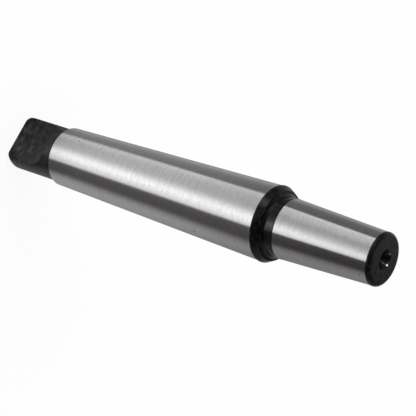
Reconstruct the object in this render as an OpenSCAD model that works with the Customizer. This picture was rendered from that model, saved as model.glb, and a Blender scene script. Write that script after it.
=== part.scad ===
// Drill chuck arbor: a long taper with a tang, held by a drilling machine's
// spindle, and a short taper that carries the drill chuck. It is turned from
// one bar, milled at the tang, blackened, and then ground on both tapers.
// The axis is Z. The tang's end lies on z = 0 and the short taper points up.

/* [Long taper] */
// Diameter at the gauge plane
shank_gauge_d = 17.78; // [16.6:0.01:24]
// Diameter lost per millimetre of length
shank_rate = 0.04995; // [0.03:0.00005:0.065]
// Tang end to gauge plane
shank_gauge_z = 75; // [60:0.1:95]
// Length ground past the gauge plane, up to the collar
shank_past_gauge = 5; // [1:0.1:10]

/* [Tang] */
// Diameter of the turned tang
tang_d = 13.5; // [12:0.1:14.6]
// Tang end to the start of the long taper
tang_len = 16; // [14.5:0.1:20]
// Thickness across the two milled flats
tang_t = 6.3; // [5:0.05:9]
// Length of each flat before the cutter runs out
tang_flat_len = 8; // [4:0.1:9.5]
// Radius of the cutter, left in the metal where it runs out
tang_cutter_r = 6; // [4.2:0.1:8]
// Radius turned on the tang's end
tang_end_r = 1.6; // [0.5:0.1:2.2]

/* [Collar and neck] */
// How far the turned collar stands over the ground long taper
collar_step = 0.14; // [0.02:0.01:0.3]
// Length of the collar at its full diameter
collar_land = 0.2; // [0.1:0.05:3]
// Length of the bevel that leads down to the shoulder
collar_bevel_len = 1.6; // [0.5:0.1:2.4]
// Angle of that bevel to the axis
collar_bevel_angle = 28; // [10:1:35]
// Radius between the shoulder and the neck
neck_fillet_r = 0.9; // [0.2:0.1:2]
// Straight length of the neck after that radius
neck_straight = 2.05; // [0.5:0.05:8]
// How far the turned neck stands over the ground short taper
neck_step = 0.04; // [0.02:0.01:0.3]

/* [Short taper] */
// Diameter at the gauge plane
chuck_gauge_d = 14.199; // [12:0.001:16]
// Diameter lost per millimetre of length
chuck_rate = 0.08155; // [0.03:0.00005:0.1]
// Length ground before the gauge plane, beside the neck
chuck_past_gauge = 0.65; // [0:0.05:4]
// Length ground from the gauge plane to the nose
chuck_len = 23.6; // [15:0.1:35]
// How far the turned nose stands over the ground short taper
nose_step = 0.08; // [0.02:0.01:0.3]
// Straight length of the nose
nose_land = 0.2; // [0.1:0.05:2]
// Radius that rounds the nose into its face
nose_round_r = 0.9; // [0.3:0.1:2]

/* [Centre holes] */
// Angle of both cones, which the arbor is ground between
centre_angle = 60; // [60:15:90]
// Mouth in the short taper's face
nose_centre_d = 4.7; // [3.2:0.1:6]
// Pilot drilled there
nose_pilot_d = 2.5; // [1.6:0.1:3]
// Depth of that pilot below the face
nose_pilot_depth = 5; // [4:0.1:10]
// Mouth in the tang's end
tang_centre_d = 4.2; // [3.2:0.1:4.8]
// Pilot drilled there
tang_pilot_d = 2; // [1.25:0.05:2.5]
// Depth of that pilot below the end
tang_pilot_depth = 4.4; // [3.5:0.1:10]

/* [Hidden] */
$fn = 128;
drill_point_angle = 118;
// How far a cut starts outside the metal, so that it leaves no skin
over = 1;
steel = [0.62, 0.62, 0.61];

// Radii that the two tapers give at a station
function shank_r_at(z) = (shank_gauge_d + (z - shank_gauge_z) * shank_rate) / 2;
function chuck_r_at(z) = (chuck_gauge_d - (z - chuck_gauge_z) * chuck_rate) / 2;

// Depth of a cone that narrows from diameter d1 to diameter d2
function cone_depth(d1, d2, angle) = (d1 - d2) / 2 / tan(angle / 2);

// Radii of the tang, of the collar, of its shoulder and of the neck
tang_r = tang_d / 2;
shank_z1 = shank_gauge_z + shank_past_gauge;
collar_r = shank_r_at(shank_z1) + collar_step;
shoulder_r = collar_r - collar_bevel_len * tan(collar_bevel_angle);
neck_r = (chuck_gauge_d + chuck_past_gauge * chuck_rate) / 2 + neck_step;
fillet_r = min(neck_fillet_r, shoulder_r - neck_r);

// Stations up the axis, from the tang's bevel to the nose
tang_z1 = tang_len - (shank_r_at(tang_len) - tang_r);
bevel_z = shank_z1 + collar_land;
shoulder_z = bevel_z + collar_bevel_len;
neck_z = shoulder_z + fillet_r;
chuck_z0 = neck_z + neck_straight;
chuck_gauge_z = chuck_z0 + chuck_past_gauge;
chuck_z1 = chuck_gauge_z + chuck_len;
nose_land_z = chuck_z1 + nose_land;
nose_z = nose_land_z + nose_round_r;
nose_r = chuck_r_at(chuck_z1) + nose_step;

// Tang before milling, up to the long taper, with its end's corner cut off
function tang_outline() = [
    [tang_r - tang_end_r, 0],
    [tang_r, tang_end_r],
    [tang_r, tang_z1]
];

// Long taper, ground from the tang's bevel to the collar
function long_taper_outline() = [
    [shank_r_at(tang_len), tang_len],
    [shank_r_at(shank_z1), shank_z1]
];

// Collar with its bevel and shoulder, and the neck with a square root
function collar_outline() = [
    [collar_r, shank_z1],
    [collar_r, bevel_z],
    [shoulder_r, shoulder_z],
    [neck_r + fillet_r, shoulder_z],
    [neck_r + fillet_r, neck_z],
    [neck_r, neck_z],
    [neck_r, chuck_z0]
];

// Short taper and the nose that leads it into the chuck, with its corner cut off
function short_taper_outline() = [
    [chuck_r_at(chuck_z0), chuck_z0],
    [chuck_r_at(chuck_z1), chuck_z1],
    [nose_r, chuck_z1],
    [nose_r, nose_land_z],
    [nose_r - nose_round_r, nose_z]
];

// The bar as it leaves the lathe and the grinder. Two circles round out the
// cut corners of its ends, and one hollows the square root of the neck.
module turned_bar() {
    rotate_extrude()
        difference() {
            union() {
                polygon(concat(
                    [[0, 0]],
                    tang_outline(),
                    long_taper_outline(),
                    collar_outline(),
                    short_taper_outline(),
                    [[0, nose_z]]
                ));
                translate([tang_r - tang_end_r, tang_end_r])
                    circle(r = tang_end_r);
                translate([nose_r - nose_round_r, nose_land_z])
                    circle(r = nose_round_r);
            }
            translate([neck_r + fillet_r, neck_z])
                circle(r = fillet_r);
        }
}

// What the cutter takes from one side of the tang: a flat, then a hollow of
// the cutter's own radius
module flat_cut() {
    width = tang_d + 2 * over;
    translate([-width / 2, tang_t / 2, -over])
        cube([width, tang_cutter_r + over, tang_flat_len + over]);
    translate([-width / 2, tang_t / 2 + tang_cutter_r, tang_flat_len])
        rotate([0, 90, 0])
            cylinder(h = width, r = tang_cutter_r);
}

// A centre hole that opens at z = 0 and goes down: cone, pilot, drill point
module centre_hole(mouth_d, pilot_d, pilot_depth) {
    rotate_extrude()
        polygon([
            [0, over],
            [mouth_d / 2 + over * tan(centre_angle / 2), over],
            [pilot_d / 2, -cone_depth(mouth_d, pilot_d, centre_angle)],
            [pilot_d / 2, -pilot_depth],
            [0, -pilot_depth - cone_depth(pilot_d, 0, drill_point_angle)]
        ]);
}

module arbor() {
    color(steel)
    difference() {
        turned_bar();
        for (side = [0, 180])
            rotate([0, 0, side])
                flat_cut();
        translate([0, 0, nose_z])
            centre_hole(nose_centre_d, nose_pilot_d, nose_pilot_depth);
        rotate([180, 0, 0])
            centre_hole(tang_centre_d, tang_pilot_d, tang_pilot_depth);
    }
}

arbor();
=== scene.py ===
import math

import bmesh
import bpy
from mathutils import Matrix, Vector


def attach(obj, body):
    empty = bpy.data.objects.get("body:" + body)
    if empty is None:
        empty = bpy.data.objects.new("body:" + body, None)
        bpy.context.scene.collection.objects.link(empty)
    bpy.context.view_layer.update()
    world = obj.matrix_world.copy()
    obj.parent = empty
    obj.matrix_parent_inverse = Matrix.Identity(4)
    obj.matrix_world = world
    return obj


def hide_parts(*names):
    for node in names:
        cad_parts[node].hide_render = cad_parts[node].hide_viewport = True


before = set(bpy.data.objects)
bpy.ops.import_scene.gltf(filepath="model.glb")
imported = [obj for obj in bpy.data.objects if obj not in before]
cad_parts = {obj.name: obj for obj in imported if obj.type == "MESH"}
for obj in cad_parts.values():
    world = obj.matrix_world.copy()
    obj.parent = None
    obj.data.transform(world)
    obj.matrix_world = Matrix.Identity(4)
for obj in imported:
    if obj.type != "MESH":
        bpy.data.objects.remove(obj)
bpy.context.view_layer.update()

# Camera. It looks down on the standing arbor from in front of one tang flat,
# and it is rolled so that the axis runs to the lower right of the picture.
mm = 0.001
view_azimuth = math.radians(16)
view_elevation = math.radians(35.04)
view_roll = math.radians(108.26)
collar_station = Vector((0, 0, 80)) * mm
collar_seen_at = Vector((14.92, -3.61, -358.06)) * mm
picture_side = 416
focal_length_px = 1573.2

camera_data = bpy.data.cameras.new("camera")
camera_data.sensor_width = 36
camera_data.lens = focal_length_px / picture_side * camera_data.sensor_width
camera = bpy.data.objects.new("camera", camera_data)
camera.rotation_mode = "QUATERNION"
turn = (
    Matrix.Rotation(view_azimuth, 3, "Z")
    @ Matrix.Rotation(math.pi / 2 - view_elevation, 3, "X")
    @ Matrix.Rotation(view_roll, 3, "Z")
)
camera.rotation_quaternion = turn.to_quaternion()
camera.location = collar_station - turn @ collar_seen_at
bpy.context.scene.collection.objects.link(camera)
bpy.context.scene.camera = camera
bpy.context.scene.view_settings.view_transform = "Standard"


# Tang. The end of the bar, turned, then milled to two flats by a cutter that
# leaves its own radius behind. It is black oxide over milled and turned steel.
tang_r = 6.75
tang_end_r = 1.6
tang_half_thickness = 3.15
tang_flat_length = 8
cutter_r = 6
flat_edge = 0.12
tang_top = 15.3335
tang_hole_mouth_r = 2.1
tang_pilot_r = 1
tang_pilot_depth = 4.4
slope_60 = math.tan(math.radians(30))
slope_118 = math.tan(math.radians(59))
tang_oxide = (0.0105, 0.0105, 0.012)
scuffed_grey = (0.07, 0.07, 0.08, 1)
# A lighter grey for the black oxide's broken edges: partly rubbed wear, partly a painted edge
# highlight.
rubbed_and_highlight_grey = (0.06, 0.06, 0.062, 1)


def flat_half_height(z):
    """Half the tang's thickness at a station: flat, then the cutter's radius."""
    if z < flat_edge:
        return tang_half_thickness - flat_edge + math.sqrt(flat_edge**2 - (flat_edge - z) ** 2)
    if z <= tang_flat_length:
        return tang_half_thickness
    past = min(z - tang_flat_length, cutter_r)
    return tang_half_thickness + cutter_r - math.sqrt(cutter_r**2 - past**2)


def run_out_station(half_height):
    """Where the cutter's radius reaches a height above the axis."""
    rise = cutter_r - (half_height - tang_half_thickness)
    return tang_flat_length + math.sqrt(cutter_r**2 - rise**2)


class Field:
    """A value that changes over a surface, held as one output of a material's nodes."""

    def __init__(self, tree, socket=None):
        self.tree = tree
        self.socket = socket

    def node(self, kind, settings, sockets, output=0):
        """Adds a node, sets it, then links or fills its sockets by name, identifier or place."""
        made = self.tree.nodes.new(kind)
        for name, value in settings.items():
            setattr(made, name, value)
        for key, value in sockets.items():
            names = [(place, s.identifier, s.name) for place, s in enumerate(made.inputs)]
            place = next(n[0] for n in names if key in n)
            if isinstance(value, Field):
                self.tree.links.new(value.socket, made.inputs[place])
            else:
                made.inputs[place].default_value = value
        if isinstance(output, str):
            output = [s.identifier for s in made.outputs].index(output)
        return Field(self.tree, made.outputs[output] if made.outputs else None)

    def maths(self, operation, *values):
        return self.node("ShaderNodeMath", {"operation": operation}, dict(enumerate(values)))

    def __add__(self, other):
        return self.maths("ADD", self, other)

    def __radd__(self, other):
        return self.maths("ADD", other, self)

    def __sub__(self, other):
        return self.maths("SUBTRACT", self, other)

    def __rsub__(self, other):
        return self.maths("SUBTRACT", other, self)

    def __mul__(self, other):
        return self.maths("MULTIPLY", self, other)

    def __rmul__(self, other):
        return self.maths("MULTIPLY", other, self)

    def step(self, low, high):
        """A smooth step from 0 to 1 as this value goes from low to high."""
        return self.node(
            "ShaderNodeMapRange",
            {"interpolation_type": "SMOOTHSTEP"},
            {"Value": self, "From Min": low, "From Max": high},
        )

    def between(self, first, second):
        """A colour that goes from first to second as this value goes from 0 to 1."""
        return self.node(
            "ShaderNodeMix",
            {"data_type": "RGBA"},
            {"Factor_Float": self, "A_Color": first, "B_Color": second},
            "Result_Color",
        )

    def stretched(self, x, y, z):
        """These coordinates, each multiplied, so that noise draws out along the small ones."""
        return self.node(
            "ShaderNodeVectorMath",
            {"operation": "MULTIPLY"},
            {0: self, 1: (x, y, z)},
        )

    def distance(self, x, y, z):
        """How far these coordinates are from a place, which is given in millimetres."""
        return self.node(
            "ShaderNodeVectorMath",
            {"operation": "DISTANCE"},
            {0: self, 1: (x * mm, y * mm, z * mm)},
            "Value",
        )

    def noise(self, scale, detail, roughness=0.5):
        return self.node(
            "ShaderNodeTexNoise",
            {},
            {"Vector": self, "Scale": scale, "Detail": detail, "Roughness": roughness},
        )

    def bump(self, strength, depth):
        """The normal of a surface that this value raises, by a depth in millimetres."""
        return self.node(
            "ShaderNodeBump",
            {},
            {"Strength": strength, "Distance": depth * mm, "Height": self},
        )


def finish(name):
    """A new material: itself, its Principled shader and its object coordinates."""
    material = bpy.data.materials.new(name)
    material.use_nodes = True
    tree = material.node_tree
    shader = next(n for n in tree.nodes if n.type == "BSDF_PRINCIPLED")
    at = Field(tree).node("ShaderNodeTexCoord", {}, {}, "Object")
    return material, shader, at


def feed(shader, **links):
    """Links fields to a shader's sockets. An underscore stands for the space in a name."""
    for key, field in links.items():
        name = key.replace("_", " ")
        field.tree.links.new(field.socket, shader.inputs[name])


def black_oxide(name, colour, gloss, marks_along, mark_depth, scuffs=0):
    """Black oxide: a dark, thin, slightly oily skin that keeps the tool marks under it.
    marks_along gives the coordinates, stretched, in which the tool marks run."""
    material, shader, at = finish(name)
    shader.inputs["IOR"].default_value = 1.42
    marks = marks_along(at).noise(1, 2)
    cloud = at.noise(700, 5, 0.65)
    bloom = cloud.step(0.35, 0.68)
    dark = tuple(0.4 * c for c in colour) + (1,)
    light = tuple(2 * c for c in colour) + (1,)
    shown = bloom.between(dark, light)
    if scuffs:
        fine = at.stretched(550, 550, 800).noise(1, 5, 0.7)
        worn = 1 - 0.65 * at.stretched(1, 0, 1).distance(1, 0, 3.5).step(1.5 * mm, 5 * mm)
        scuffed = fine.step(0.48, 0.68) * worn * scuffs
        shown = scuffed.between(shown, scuffed_grey)
    edge = at.node("ShaderNodeAttribute", {"attribute_name": "edge"}, {}, "Fac")
    # Broken edges are painted lighter in patches: partly rubbed wear, partly a painted highlight
    # along the edge.
    rubbed_and_highlit_edges = edge * at.noise(600, 2).step(0.48, 0.68) * 0.35
    feed(
        shader,
        Base_Color=rubbed_and_highlit_edges.between(shown, rubbed_and_highlight_grey),
        Roughness=gloss + 0.05 * marks + 0.06 * bloom,
        Normal=(marks + 0.3 * cloud).bump(0.5, mark_depth),
    )
    return material


def milled_marks(at):
    return at.stretched(150, 150, 2600)


tang_black = black_oxide("tang_black", tang_oxide, 0.3, milled_marks, 0.01, scuffs=0.9)

# The bar's outline starts at the bottom of the tang's centre hole. Each row is a
# corner: radius, station, rounding, and the finish of the stretch that follows.
outline = [
    (0, tang_pilot_depth + tang_pilot_r / slope_118, 0, "centre"),
    (tang_pilot_r, tang_pilot_depth, 0, "centre"),
    (tang_pilot_r, (tang_hole_mouth_r - tang_pilot_r) / slope_60, 0, "centre"),
    (tang_hole_mouth_r, 0, 0, "tang"),
    (tang_r, 0, tang_end_r, "tang"),
    (tang_r, tang_top, 0, "ground"),
]


# Long taper. It fits the spindle's socket, so it is ground between centres
# after blackening, which leaves bright steel with very fine rings round it.
shank_small_r = 7.4165
shank_large_r = 9.0149
shank_start = 16
shank_end = 80
dull_steel = (0.60, 0.60, 0.60, 1)
bright_steel = (0.69, 0.688, 0.685, 1)
pit_grey = (0.12, 0.11, 0.11, 1)
large_pits = (
    (-2.6, -7.1, 22.7, 0.28),
    (8.3, -2.2, 62.7, 0.34),
    (5.6, -2.6, 107.5, 0.26),
)


def spots(at, places):
    """1 in small round spots and 0 away from them. Each place is x, y, z and a size, in mm."""
    return sum(
        1 - at.distance(x, y, z).step(0.5 * size * mm, size * mm) for x, y, z, size in places
    )


def ground_steel(name):
    """Ground steel: bright, blurred along the axis and sharp round it, with fine rings
    and scratches round it, a slow waviness from the wheel, and a few small dark pits."""
    material, shader, at = finish(name)
    shader.inputs["Metallic"].default_value = 1
    shader.inputs["Anisotropic"].default_value = 0.98
    shader.inputs["Anisotropic Rotation"].default_value = 0.25
    fine_rings = at.stretched(160, 160, 3800).noise(1, 3, 0.6)
    scratches = at.stretched(800, 800, 3200).noise(1, 4, 0.7)
    waves = at.stretched(14, 14, 120).noise(1, 2)
    grain = fine_rings * 0.35 + scratches * 0.65
    steel = grain.step(0.4, 0.6).between(dull_steel, bright_steel)
    cells = at.node("ShaderNodeTexVoronoi", {"feature": "F1"}, {"Vector": at, "Scale": 130})
    pits = (1 - cells.step(0.02, 0.05)) * 0.4 + spots(at, large_pits) * 0.85
    feed(
        shader,
        Base_Color=pits.between(steel, pit_grey),
        Roughness=0.2 + 0.05 * grain,
        Normal=(fine_rings + 2 * waves + 2 * scratches).bump(1, 0.001),
    )
    return material


ground = ground_steel("ground_steel")

outline += [
    (shank_small_r, shank_start, 0.05, "ground"),
    (shank_large_r, shank_end, 0, "collar"),
]


# Collar and neck. Turned and left black, so they stand a hair over the ground
# tapers. The bevel leads down to a shoulder with a radius at the neck's root.
collar_r = 9.1549
collar_bevel_start = 80.2
shoulder_z = 81.8
shoulder_r = 8.3042
neck_r = 7.166
neck_root_r = 0.9
neck_end = 84.75
collar_oxide = (0.0038, 0.0034, 0.004)


def turned_marks(at):
    return at.stretched(60, 60, 5200)


collar_black = black_oxide("collar_black", collar_oxide, 0.1, turned_marks, 0.0012)

outline += [
    (collar_r, shank_end, 0.04, "collar"),
    (collar_r, collar_bevel_start, 0.1, "collar"),
    (shoulder_r, shoulder_z, 0.1, "collar"),
    (neck_r, shoulder_z, neck_root_r, "collar"),
    (neck_r, neck_end, 0, "ground"),
]


# Short taper. It carries the chuck and is ground like the long one. The turned
# nose and the faced end stay black.
chuck_large_r = 7.126
chuck_small_r = 6.1371
chuck_end = 109
nose_r = 6.2171
nose_round_r = 0.9
nose_z = 110.1
nose_oxide = (0.0043, 0.0039, 0.0047)


def faced_marks(at):
    """Rings round the axis, for a face: the distance from the axis takes the place of height."""
    x = at.node("ShaderNodeSeparateXYZ", {}, {"Vector": at}, "X")
    y = Field(at.tree, x.socket.node.outputs["Y"])
    from_axis = at.stretched(1, 1, 0).distance(0, 0, 0)
    return at.node(
        "ShaderNodeCombineXYZ",
        {},
        {"X": x * 150, "Y": y * 150, "Z": from_axis * 5000},
    )


nose_black = black_oxide("nose_black", nose_oxide, 0.2, faced_marks, 0.004)

outline += [
    (chuck_large_r, neck_end, 0, "ground"),
    (chuck_small_r, chuck_end, 0, "nose"),
    (nose_r, chuck_end, 0.03, "nose"),
    (nose_r, nose_z, nose_round_r, "nose"),
]


# Centre holes. Both ends have a 60 degree cone and a pilot, drilled so that the
# grinder can hold the arbor between centres, which rubs the black cone bright in
# a few places.
nose_hole_mouth_r = 2.35
nose_pilot_r = 1.25
nose_pilot_depth = 5
cone_depth = (nose_hole_mouth_r - nose_pilot_r) / slope_60
cone_oxide = (0.006, 0.0055, 0.006, 1)
rubbed_steel = (0.62, 0.61, 0.6, 1)
rubbed_places = (
    (0.29, 2.28, 110, 0.5),
    (-0.4, 2.2, 109.93, 0.23),
    (0.2, 1.7, 109, 0.06),
    (-2.05, 1.07, 110, 0.32),
)


def cone_black(name):
    """Black oxide over drilled rings, with spots of bright steel that are also smoother."""
    material, shader, at = finish(name)
    drilled = at.stretched(200, 200, 6000).noise(1, 3)
    rub = spots(at, rubbed_places)
    feed(
        shader,
        Base_Color=rub.between(cone_oxide, rubbed_steel),
        Metallic=rub.step(0, 0.2),
        Roughness=0.16 + 0.1 * drilled - 0.08 * rub,
        Normal=drilled.bump(0.4, 0.003),
    )
    return material


centre_black = cone_black("centre_black")

outline += [
    (nose_hole_mouth_r, nose_z, 0.06, "centre"),
    (nose_pilot_r, nose_z - cone_depth, 0.05, "centre"),
    (nose_pilot_r, nose_z - nose_pilot_depth, 0, "centre"),
    (0, nose_z - nose_pilot_depth - nose_pilot_r / slope_118, 0, "centre"),
]


# The arbor. One bar: the outline above is turned round the axis, each ring is
# flattened where the tang is milled, and its sharp corners are broken.
broken_edge_below = 0.5
corner_steps = 5
round_steps = 15
corner_gap = 0.12
ring_pitch = 2.5
least_gap = 0.02
run_out_steps = 24
arc_steps = 46
fillet_steps = 3
flat_shares = (0.98, 0.85, 0.55, 0.25, 0)
touching = 0.0001
merge_within = 0.001 * mm
sharp_from = math.radians(32)


def break_corners(corners):
    """The outline with each corner rounded: its places, their finish, and 1 on a broken edge."""
    points = []
    for i, (r, z, rounding, stretch) in enumerate(corners):
        here = Vector((r, z))
        if not rounding:
            points.append((here, stretch, 0.0))
            continue
        before = corners[i - 1][3]
        back = (Vector(corners[i - 1][:2]) - here).normalized()
        ahead = (Vector(corners[i + 1][:2]) - here).normalized()
        half = back.angle(ahead) / 2
        reach = rounding / math.tan(half)
        middle = here + (back + ahead).normalized() * rounding / math.sin(half)
        start = here + back * reach - middle
        end = here + ahead * reach - middle
        arc = start.angle(end)
        broken = rounding < broken_edge_below
        steps = corner_steps if broken else round_steps
        for k in range(steps + 1):
            share = k / steps
            spoke = start * math.sin((1 - share) * arc) + end * math.sin(share * arc)
            place = middle + spoke / math.sin(arc)
            points.append((place, stretch if k == steps else before, float(broken)))
    return points


def tang_stations():
    """Stations that follow the run-out closely, where its edge curves fastest."""
    slow = [
        tang_flat_length + cutter_r * math.sin(math.radians(degrees))
        for degrees in range(0, 67, 3)
    ]
    first = math.asin(tang_half_thickness / tang_r)
    rest = math.pi / 2 - first
    angles = [first + rest * k / run_out_steps for k in range(run_out_steps + 1)]
    fast = [run_out_station(tang_r * math.sin(angle)) for angle in angles]
    last = run_out_station(tang_r)
    return [z for z in slow + fast if z < last] + [last]


def fill(points):
    """Adds points along each straight stretch, close to its ends and then evenly."""
    filled = []
    for (start, stretch, edge), (end, _, _) in zip(points, points[1:]):
        filled.append((start, stretch, edge))
        length = (end - start).length
        shares = []
        if length > 4 * corner_gap:
            steps = max(1, round(length / ring_pitch))
            shares = [corner_gap / length, 1 - corner_gap / length]
            shares += [k / steps for k in range(1, steps)]
        if stretch == "tang" and start.x == end.x == tang_r:
            shares += [(z - start.y) / length for z in tang_stations()]
            shares += [(z - start.y) / length for z in range(2, tang_flat_length)]
        kept = 0.0
        for share in sorted(shares):
            if (share - kept) * length > least_gap and (1 - share) * length > least_gap:
                filled.append((start.lerp(end, share), stretch, 0.0))
                kept = share
    filled.append(points[-1])
    return filled


def ring_points(r, half_height):
    """A circle of radius r flattened to a height, as x, y and 1 on the broken edge."""
    milled = half_height < r
    corner = flat_edge if milled else 0
    level = half_height if milled else r
    across = 0
    flat_from = math.pi / 2
    if milled:
        across = math.sqrt(max(0, (r - corner) ** 2 - (half_height - corner) ** 2))
        flat_from = math.atan2(half_height - corner, across)
    quarter = []
    for k in range(arc_steps + 1):
        angle = flat_from * k / arc_steps
        quarter.append((r * math.cos(angle), r * math.sin(angle), 0.0))
    for k in range(1, fillet_steps + 1):
        angle = flat_from + (math.pi / 2 - flat_from) * k / fillet_steps
        x = across + corner * math.cos(angle)
        y = level - corner + corner * math.sin(angle)
        quarter.append((x, y, float(milled)))
    quarter += [(across * share, level, 0.0) for share in flat_shares]
    left = [(-x, y, e) for x, y, e in reversed(quarter[:-1])]
    upper = quarter + left
    lower = [(-x, -y, e) for x, y, e in upper[1:-1]]
    return upper + lower


face_r = tang_r - tang_end_r
face_ring = ring_points(face_r, flat_half_height(0))


def hole_ring(r):
    """A ring in the tang's centre hole or on the face round it, where it turns from the
    hole's circle into the face's flattened outline."""
    inner_r = min(r, tang_hole_mouth_r)
    share = max(0, (r - tang_hole_mouth_r) / (face_r - tang_hole_mouth_r))
    points = []
    for x, y, _ in face_ring:
        size = math.hypot(x, y)
        points.append((
            (1 - share) * inner_r * x / size + share * x,
            (1 - share) * inner_r * y / size + share * y,
            0.0,
        ))
    return points


rings = []
for place, stretch, edge in fill(break_corners(outline)):
    r, z = place
    on_face = z < touching and r < face_r + touching
    in_hole = r <= tang_hole_mouth_r and z <= tang_pilot_depth + tang_pilot_r
    if on_face or in_hole:
        points = hole_ring(r)
    elif z < run_out_station(tang_r) and r > tang_hole_mouth_r:
        points = ring_points(r, flat_half_height(max(z, 0)))
    else:
        points = ring_points(r, math.inf)
    rings.append((points, z, stretch, edge))

finishes = {
    "tang": tang_black,
    "ground": ground,
    "collar": collar_black,
    "nose": nose_black,
    "centre": centre_black,
}
finish_order = list(finishes)
shape = bmesh.new()
edge_layer = shape.verts.layers.float.new("edge")
grid = []
for points, z, _, ring_edge in rings:
    row = []
    for x, y, point_edge in points:
        vertex = shape.verts.new(Vector((x, y, z)) * mm)
        vertex[edge_layer] = max(ring_edge, point_edge)
        row.append(vertex)
    grid.append(row)
for (_, _, stretch, _), row, above in zip(rings, grid, grid[1:]):
    for j in range(len(row)):
        following = (j + 1) % len(row)
        face = shape.faces.new((row[j], row[following], above[following], above[j]))
        face.material_index = finish_order.index(stretch)
        face.smooth = True
bmesh.ops.remove_doubles(shape, verts=shape.verts, dist=merge_within)
bmesh.ops.recalc_face_normals(shape, faces=shape.faces)

arbor_mesh = bpy.data.meshes.new("arbor_bar")
shape.to_mesh(arbor_mesh)
shape.free()
for material in finishes.values():
    arbor_mesh.materials.append(material)
arbor_mesh.set_sharp_from_angle(angle=sharp_from)
arbor = bpy.data.objects.new("arbor_bar", arbor_mesh)
bpy.context.scene.collection.objects.link(arbor)
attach(arbor, "root")
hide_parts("arbor")


# Floor. Pale and matt, and white to the camera, to glossy rays and to
# transmitted ones, with part of its own light and shade left in.
floor_side = 6
floor_drop = 0.02 * mm
floor_colour = (0.95, 0.95, 0.95, 1)
white = (1, 1, 1, 1)
share_of_white = 0.88


def direct_rays(tree):
    """1 for camera, glossy and transmitted rays, and 0 for those that only carry light."""
    ray = Field(tree).node("ShaderNodeLightPath", {}, {}, "Is Camera Ray")
    kinds = ray.socket.node.outputs
    return ray + Field(tree, kinds["Is Glossy Ray"]) + Field(tree, kinds["Is Transmission Ray"])


half = floor_side / 2
floor_corners = [(-half, -half), (half, -half), (half, half), (-half, half)]
floor_mesh = bpy.data.meshes.new("floor")
floor_mesh.from_pydata([(x, y, -floor_drop) for x, y in floor_corners], [], [(0, 1, 2, 3)])
floor = bpy.data.objects.new("floor", floor_mesh)
bpy.context.scene.collection.objects.link(floor)

floor_paint = bpy.data.materials.new("floor_paint")
floor_paint.use_nodes = True
floor_paint.node_tree.nodes.clear()
direct = direct_rays(floor_paint.node_tree)
matt = direct.node("ShaderNodeBsdfDiffuse", {}, {"Color": floor_colour})
plain_white = direct.node("ShaderNodeEmission", {}, {"Color": white, "Strength": 1})
mixed = direct.node("ShaderNodeMixShader", {}, {0: direct * share_of_white, 1: matt, 2: plain_white})
direct.node("ShaderNodeOutputMaterial", {}, {"Surface": mixed})
floor_mesh.materials.append(floor_paint)


# Sweep. Light cards and a low light panel, fanned round the arbor, which turn up
# into a tent's walls and lid. It is paper and lamps, and only reflections show it.
bar_r = 8.2
columns_per_card = 3
by_tang_reach = 21
halfway_reach = 100
neck_reach = 130
far_reach = 165
wall_reach = 350
reaches = (
    3, 8, 13, 18, by_tang_reach, 60, halfway_reach, 115, 123, neck_reach, 137, 145, far_reach, 230,
    wall_reach,
)
wall_heights = (30, 80, 120, 150, 180, 210, 250, 275, 288, 300, 312, 325, 340, 520)
lid_light = 0.15
middle_light = 0.3
warm_white = (1, 0.91, 0.92, 1)
cool_white = (0.86, 0.88, 1, 1)

# Each row is one edge between cards: the angle on the bar's side, from the camera's
# side, at which the edge shows by the tang and far out, and then the card's light by
# the tang, halfway and far out.
card_edges = [
    (-90, -90, 0.00, 0.00, 0.00),
    (-82, -82, 0.20, 0.20, 0.20),
    (-74, -74, 0.50, 0.55, 0.45),
    (-60, -60, 0.30, 0.30, 0.16),
    (-44.5, -39, 0.25, 0.25, 0.15),
    (-43.5, -38, 0.95, 1.20, 1.40),
    (-32, -31, 0.60, 0.75, 1.05),
    (-24, -24, 0.65, 0.70, 0.90),
    (-16, -16, 0.80, 0.70, 0.65),
    (-10, -10, 1.20, 0.90, 0.65),
    (-4, -4, 1.60, 1.40, 0.80),
    (1, 1, 1.60, 1.60, 0.95),
    (8, 8, 1.20, 1.25, 1.65),
    (13.5, 14, 1.00, 1.15, 1.30),
    (15.3, 15.8, 0.15, 0.15, 0.10),
    (24, 24, 0.13, 0.12, 0.06),
    (36, 36, 0.10, 0.08, 0.03),
    (42.5, 42.5, 0.35, 0.30, 0.20),
    (52, 52, 0.45, 0.45, 0.30),
    (62, 62, 0.45, 0.40, 0.30),
    (74, 74, 0.40, 0.30, 0.25),
    (90, 90, 0.40, 0.30, 0.35),
]


def falloff(value, centre, spread):
    return math.exp(-(((value - centre) / spread) ** 2))


def along(value, start, end):
    """How far a value is from start to end, kept between 0 and 1."""
    return min(1, max(0, (value - start) / (end - start)))


def card_light(angle, reach, by_tang, halfway, far_out):
    """A card's light. It is shaded close to the tang and on both sides of where the neck
    shows it, and there a small lamp glints."""
    card = by_tang + (halfway - by_tang) * along(reach, by_tang_reach, halfway_reach)
    card += (far_out - halfway) * along(reach, halfway_reach, far_reach)
    tang_shade = 0.45 + 0.55 * max(along(reach, 13, 18), along(angle, 45, 60))
    left_shade = 1 - 0.93 * falloff(reach, neck_reach, 18) * falloff(angle, -31, 25)
    right_shade = 1 - 0.45 * falloff(reach, neck_reach, 18) * falloff(angle, 58, 20)
    glint = (0.1 + 4.5 * falloff(angle, 3, 4.5)) * falloff(reach, neck_reach, 6)
    return card * tang_shade * left_shade * right_shade + glint


def wall_light(angle, height):
    """The tent's wall: grey, dark to the right of the lamp, with a window on the left,
    a low one behind, and a small lamp that only the nose's centre hole shows."""
    grey = 0.17 + 0.16 * along(angle, -50, -60) - 0.15 * along(angle, 0, 8)
    right = 0.22 * along(angle, 32, 46) - 0.1 * along(angle, 58, 72)
    high_shade = 0.08 * along(height, 250, 340)
    low_window = 0.7 * falloff(abs(angle), 82, 8) * falloff(height, 50, 110)
    small_lamp = 4 * falloff(angle, -23, 4) * falloff(height, 300, 14)
    window = 1.6 * falloff(angle, -25, 5.5) * falloff(height, 185, 50)
    return grey + right - high_shade + low_window + small_lamp + window


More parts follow.
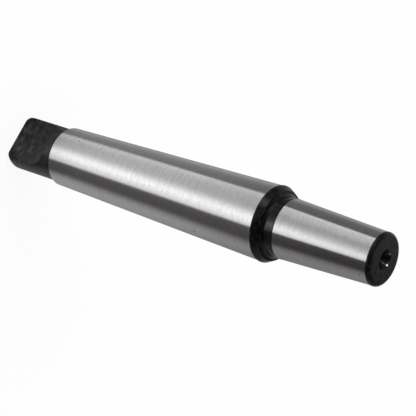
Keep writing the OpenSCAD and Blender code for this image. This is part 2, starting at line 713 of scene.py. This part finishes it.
card_columns = []
for first, second in zip(card_edges, card_edges[1:]):
    for k in range(columns_per_card):
        card_columns.append([a + (b - a) * k / columns_per_card for a, b in zip(first, second)])
card_columns.append(card_edges[-1])

near_way = Vector((math.sin(view_azimuth), -math.cos(view_azimuth), 0))
down_way = Vector((math.cos(view_azimuth), math.sin(view_azimuth), 0))
sweep_points = []
sweep_light = []
for near_angle, far_angle, by_tang, halfway, far_out in card_columns:
    for reach in reaches:
        angle = near_angle + (far_angle - near_angle) * along(reach, by_tang_reach, far_reach)
        side = math.radians(angle)
        start = bar_r * (near_way * math.cos(side) + down_way * math.sin(side))
        way = near_way * math.cos(2 * side) + down_way * math.sin(2 * side)
        foot = start + way * reach
        sweep_points.append(foot * mm)
        sweep_light.append(card_light(angle, reach, by_tang, halfway, far_out))
    for height in wall_heights:
        sweep_points.append((foot + Vector((0, 0, height))) * mm)
        sweep_light.append(wall_light(angle, height))
lid_middle = len(sweep_points)
floor_middle = lid_middle + 1
sweep_points += [Vector((0, 0, wall_heights[-1])) * mm, Vector((0, 0, 0))]
sweep_light += [lid_light, middle_light]

rows = len(reaches) + len(wall_heights)
sweep_faces = []
for k in range(len(card_columns)):
    this = k * rows
    following = (k + 1) % len(card_columns) * rows
    for j in range(rows - 1):
        sweep_faces.append((this + j, following + j, following + j + 1, this + j + 1))
    sweep_faces.append((this + rows - 1, following + rows - 1, lid_middle))
    sweep_faces.append((this, following, floor_middle))
sweep_mesh = bpy.data.meshes.new("sweep")
sweep_mesh.from_pydata(sweep_points, [], sweep_faces)
light_layer = sweep_mesh.attributes.new("light", "FLOAT", "POINT")
light_layer.data.foreach_set("value", sweep_light)
sweep = bpy.data.objects.new("sweep", sweep_mesh)
bpy.context.scene.collection.objects.link(sweep)
sweep.visible_camera = False
sweep.visible_diffuse = False
sweep.visible_transmission = False
sweep.visible_shadow = False

sweep_card = bpy.data.materials.new("sweep_card")
sweep_card.use_nodes = True
sweep_card.node_tree.nodes.clear()
at = Field(sweep_card.node_tree)
light = at.node("ShaderNodeAttribute", {"attribute_name": "light"}, {}, "Fac")
tint = light.step(0.1, 0.35).between(warm_white, white)
tint = light.step(2, 4).between(tint, cool_white)
shine = light.node("ShaderNodeVectorMath", {"operation": "SCALE"}, {"Vector": tint, "Scale": light})
glow = light.node("ShaderNodeEmission", {}, {"Color": shine, "Strength": 1})
light.node("ShaderNodeOutputMaterial", {}, {"Surface": glow})
sweep_mesh.materials.append(sweep_card)


# Light. A soft, even surround and one large lamp high on the left. Reflections
# show the sweep's cards in place of the lamp.
surround_strength = 0.8
lamp_size = 0.5
lamp_watts = 2.2
lamp_place = (-0.35, -0.35, 0.75)

world = bpy.data.worlds.new("surround")
bpy.context.scene.world = world
world.use_nodes = True
world.node_tree.nodes.clear()
direct = direct_rays(world.node_tree)
soft = direct.node("ShaderNodeBackground", {}, {"Color": white, "Strength": surround_strength})
plain_white = direct.node("ShaderNodeBackground", {}, {"Color": white, "Strength": 1})
mixed = direct.node("ShaderNodeMixShader", {}, {0: direct, 1: soft, 2: plain_white})
direct.node("ShaderNodeOutputWorld", {}, {"Surface": mixed})

lamp_data = bpy.data.lights.new("soft_lamp", "AREA")
lamp_data.shape = "DISK"
lamp_data.size = lamp_size
lamp_data.energy = lamp_watts
lamp = bpy.data.objects.new("soft_lamp", lamp_data)
lamp.location = lamp_place
lamp.rotation_mode = "QUATERNION"
lamp.rotation_quaternion = (lamp.location - collar_station).to_track_quat("Z", "Y")
lamp.visible_glossy = False
bpy.context.scene.collection.objects.link(lamp)
